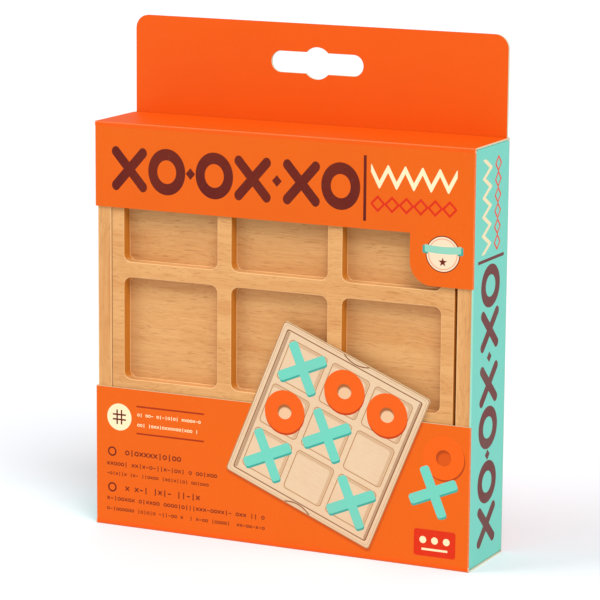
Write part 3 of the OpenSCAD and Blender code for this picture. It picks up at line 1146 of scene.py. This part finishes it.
class BuildSides(bpy.types.Operator):
    """Build the two mint side panels"""

    bl_idname = "ttt.build_sides"
    bl_label = "Side Panels"

    def execute(self, context):
        mint = context.scene.ttt_carton.mint
        prints = {"left": (-RIGHT, left_side_print), "right": (RIGHT, right_side_print)}
        for side, (outward, art) in prints.items():
            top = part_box(f"top_dust_flap_{side}")[1].z
            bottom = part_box(f"bottom_dust_flap_{side}")[0].z
            trims = [(Z, top - STRIP, False), (Z, bottom + STRIP, True)]
            finishes = board_set(f"{side}_side_print", mint, art, side_places)
            folds = [{X: outward.x * SIDE_X, Y: FRONT_Y}]
            carton_piece(f"{side}_side_panel", outward, finishes, trims, folds)
        return {"FINISHED"}


class BuildBack(bpy.types.Operator):
    """Build the back panel and the seam flap glued inside it"""

    bl_idname = "ttt.build_back"
    bl_label = "Back and Seam"

    def execute(self, context):
        ground = context.scene.ttt_carton.deep_orange
        finishes = board_set("back_print", ground, back_print, back_places)
        # The left edge is a cut one, because the seam flap turns that corner
        carton_piece("back_panel", BACKWARDS, finishes, folds=[{X: SIDE_X, Y: BACK_Y}])
        unprinted = [finishes[LINER], finishes[CUT], finishes[LINER]]
        carton_piece("seam_flap", BACKWARDS, unprinted)
        return {"FINISHED"}


class BuildTab(bpy.types.Operator):
    """Build the two plies of the hanging tab"""

    bl_idname = "ttt.build_tab"
    bl_label = "Hanging Tab"

    def execute(self, context):
        front_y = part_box("hang_tab_front_ply")[0].y
        plies = {"hang_tab_back_ply": (BACKWARDS, BACK_Y), "hang_tab_front_ply": (-BACKWARDS, front_y)}
        for node, (outward, outer_y) in plies.items():
            folds = [{Y: outer_y, Z: TAB_TOP_Z}]
            carton_piece(node, outward, plain_orange(), folds=folds, printed_top=TAB_TOP_Z)
        return {"FINISHED"}


class BuildClosures(bpy.types.Operator):
    """Build the top and bottom flaps, tuck tongues and dust flaps, and their bent strips"""

    bl_idname = "ttt.build_closures"
    bl_label = "Closures"

    def execute(self, context):
        for end, outward in (("top", UP), ("bottom", -UP)):
            self.build_main_flap(end, outward)
            for side in ("left", "right"):
                self.build_dust_flap(end, outward, side)
        return {"FINISHED"}

    def build_main_flap(self, end, outward):
        flap = f"{end}_flap"
        tongue = f"{end}_tuck_tongue"
        flap_low, flap_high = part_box(flap)
        tongue_low, tongue_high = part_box(tongue)
        outer_z = flap_high.z if end == "top" else flap_low.z
        flap_trims = [(Y, flap_low.y + STRIP, True), (Y, flap_high.y - STRIP, False)]
        tongue_trims = [(Z, outer_z - outward.z * STRIP, end == "bottom")]
        carton_piece(flap, outward, plain_orange(), flap_trims)
        carton_piece(tongue, BACKWARDS, plain_orange(), tongue_trims)
        flap_span = (flap_low.x, flap_high.x)
        tongue_span = (tongue_low.x, tongue_high.x)
        front_crease = Crease((0, flap_low.y, outer_z), -outward, BACKWARDS)
        bent_strip(f"{end}_front_crease", front_crease, flap_span, flap_span,
                   plain_orange())
        tongue_crease = Crease((0, flap_high.y, outer_z), -BACKWARDS, -outward)
        bent_strip(f"{end}_tongue_crease_strip", tongue_crease, flap_span, tongue_span,
                   plain_orange())

    def build_dust_flap(self, end, outward, side):
        to_side = RIGHT if side == "right" else -RIGHT
        node = f"{end}_dust_flap_{side}"
        low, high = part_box(node)
        outer_z = high.z if end == "top" else low.z
        edge_x = to_side.x * (SIDE_X - STRIP)
        carton_piece(node, outward, plain_mint(), [(X, edge_x, side == "left")])
        panel_back_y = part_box(f"{side}_side_panel")[1].y
        crease = Crease((to_side.x * SIDE_X, 0, outer_z), -outward, -to_side)
        bent_strip(f"{end}_dust_crease_{side}", crease, (FRONT_Y + SHEET, panel_back_y), (low.y, high.y),
                   plain_mint())


class BuildGameBox(bpy.types.Operator):
    """Build the beech back plate and the four rails"""

    bl_idname = "ttt.build_game_box"
    bl_label = "Game Box"

    def execute(self, context):
        wood = context.scene.ttt_wood
        # The grain's axis and the plank that each part is cut from
        parts = {
            "box_back_plate": (X, 40), "box_rail_left": (Z, 11), "box_rail_right": (Z, 67),
            "box_rail_top": (X, 90), "box_rail_bottom": (X, 130),
        }
        for node, (grain, plank) in parts.items():
            mesh = copy_of(node)
            sand_edges(mesh, wood.edge_radius)
            replace_node(mesh, node, "sanded_and_highlit", [beech(f"{node}_beech", grain, wood, plank)])
        return {"FINISHED"}


class BuildBoard(bpy.types.Operator):
    """Build the game board with its nine milled pockets"""

    bl_idname = "ttt.build_board"
    bl_label = "Game Board"

    def execute(self, context):
        wood = context.scene.ttt_wood
        mesh = copy_of("game_board")
        sand_edges(mesh, wood.edge_radius)
        replace_node(mesh, "game_board", "milled", [beech("game_board_beech", X, wood)])
        return {"FINISHED"}


class BuildPieces(bpy.types.Operator):
    """Build the five crosses and the four rings"""

    bl_idname = "ttt.build_pieces"
    bl_label = "Crosses and Rings"

    def execute(self, context):
        wood = context.scene.ttt_wood
        mint = paint_coat("mint_paint", wood.mint)
        orange = paint_coat("orange_paint", wood.orange)
        for node in sorted(frame["nodes"]):
            if node.startswith("cross_"):
                mesh = copy_of(node)
                sand_edges(mesh, wood.cross_radius, wood.edge_segments)
                replace_node(mesh, node, "painted", [mint])
            if node.startswith("ring_"):
                replace_node(self.ring(node, wood), node, "painted", [orange])
        return {"FINISHED"}

    def ring(self, node, wood):
        """A ring turned from its own section, with round edges."""
        low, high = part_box(node)
        middle = (low + high) / 2
        outer = (high.x - low.x) / 2
        points = [vertex.co for vertex in frame["nodes"][node].data.vertices]
        inner = min(math.hypot(point.x - middle.x, point.z - middle.z) for point in points)
        mesh = bmesh.new()
        corners = [(inner, low.y), (outer, low.y), (outer, high.y), (inner, high.y)]
        section = [mesh.verts.new((middle.x + reach, y, middle.z)) for reach, y in corners]
        mesh.faces.new(section)
        bmesh.ops.bevel(
            mesh, geom=mesh.verts[:], offset=wood.ring_radius, offset_type="OFFSET", affect="VERTICES",
            segments=wood.edge_segments, profile=0.5, material=-1)
        bmesh.ops.delete(mesh, geom=mesh.faces[:], context="FACES_ONLY")
        bmesh.ops.spin(
            mesh, geom=mesh.verts[:] + mesh.edges[:], cent=middle, axis=BACKWARDS,
            angle=2 * math.pi, steps=wood.ring_steps, use_merge=True, use_duplicate=False)
        bmesh.ops.remove_doubles(mesh, verts=mesh.verts, dist=TOUCH)
        bmesh.ops.recalc_face_normals(mesh, faces=mesh.faces)
        return mesh


class BuildStage(bpy.types.Operator):
    """Build the floor, the lights and the camera"""

    bl_idname = "ttt.build_stage"
    bl_label = "Stage"

    def execute(self, context):
        stage = context.scene.ttt_stage
        self.build_floor()
        self.build_sky(context.scene, stage.sky_strength)
        self.build_sun("key", stage.key_strength, azimuth=44, elevation=51, softness=34)
        self.build_sun("fill", stage.fill_strength, azimuth=-58, elevation=30, softness=36)
        self.build_camera(stage)
        return {"FINISHED"}

    def build_floor(self):
        finish = Finish("pale_floor")
        x, y, _ = finish.places()
        cloud = finish.noise(x * 0.004, y * 0.004, 0)
        finish.set("Base Color", finish.paint(ink("eef0f3"), ink("e8eaee"), cloud))
        finish.set("Roughness", 0.7)
        half_size = 6
        squares = 8
        mesh = bmesh.new()
        bmesh.ops.create_grid(mesh, x_segments=squares, y_segments=squares, size=half_size)
        data = bpy.data.meshes.new("floor")
        mesh.to_mesh(data)
        mesh.free()
        data.materials.append(finish.material)
        floor = bpy.data.objects.new("floor", data)
        bpy.context.scene.collection.objects.link(floor)

    def build_sky(self, scene, strength):
        world = bpy.data.worlds.new("soft_white")
        world.use_nodes = True
        background = world.node_tree.nodes["Background"]
        background.inputs["Color"].default_value = (1, 1, 1, 1)
        background.inputs["Strength"].default_value = strength
        scene.world = world
        scene.view_settings.view_transform = "Standard"

    def build_sun(self, name, strength, azimuth, elevation, softness):
        """A light from that angle round to the right and that angle above the horizon, in degrees."""
        light = bpy.data.lights.new(name, "SUN")
        light.energy = strength
        light.angle = math.radians(softness)
        lamp = bpy.data.objects.new(name, light)
        lamp.rotation_euler = (math.radians(90 - elevation), 0, math.radians(azimuth))
        bpy.context.scene.collection.objects.link(lamp)

    def build_camera(self, stage):
        data = bpy.data.cameras.new("camera")
        data.sensor_width = 36
        data.lens = stage.lens
        back = Vector((
            math.sin(stage.azimuth) * math.cos(stage.elevation),
            -math.cos(stage.azimuth) * math.cos(stage.elevation),
            math.sin(stage.elevation)))
        right = UP.cross(back).normalized()
        up = back.cross(right)
        turn = Matrix.Rotation(stage.roll, 3, back)
        axes = Matrix((turn @ right, turn @ up, back)).transposed()
        camera = bpy.data.objects.new("camera", data)
        camera.matrix_world = Matrix.Translation(stage.place) @ axes.to_4x4()
        bpy.context.scene.collection.objects.link(camera)
        bpy.context.scene.camera = camera


BUILD_STEPS = (
    BuildStage, BuildFront, BuildSides, BuildBack, BuildTab, BuildClosures,
    BuildGameBox, BuildBoard, BuildPieces,
)


class TicTacToePanel(bpy.types.Panel):
    """Lists the settings and the steps that build the set"""

    bl_idname = "VIEW3D_PT_tic_tac_toe"
    bl_label = "Tic Tac Toe Set"
    bl_space_type = "VIEW_3D"
    bl_region_type = "UI"
    bl_category = "Tic Tac Toe"

    def draw(self, context):
        for group in SETTINGS:
            settings = getattr(context.scene, group)
            column = self.layout.column(align=True)
            for name in settings.__annotations__:
                column.prop(settings, name)
        for step in BUILD_STEPS:
            self.layout.operator(step.bl_idname)


SETTINGS = {
    "ttt_carton": CartonSettings, "ttt_inks": InkSettings, "ttt_wood": WoodSettings,
    "ttt_stage": StageSettings,
}

CLASSES = (*SETTINGS.values(), *BUILD_STEPS, TicTacToePanel)


def register():
    for cls in CLASSES:
        bpy.utils.register_class(cls)
    for name, group in SETTINGS.items():
        setattr(bpy.types.Scene, name, PointerProperty(type=group))


def unregister():
    for name in SETTINGS:
        delattr(bpy.types.Scene, name)
    for cls in reversed(CLASSES):
        bpy.utils.unregister_class(cls)


def main():
    register()
    for step in BUILD_STEPS:
        group, name = step.bl_idname.split(".")
        getattr(getattr(bpy.ops, group), name)()


if __name__ == "__main__":
    main()
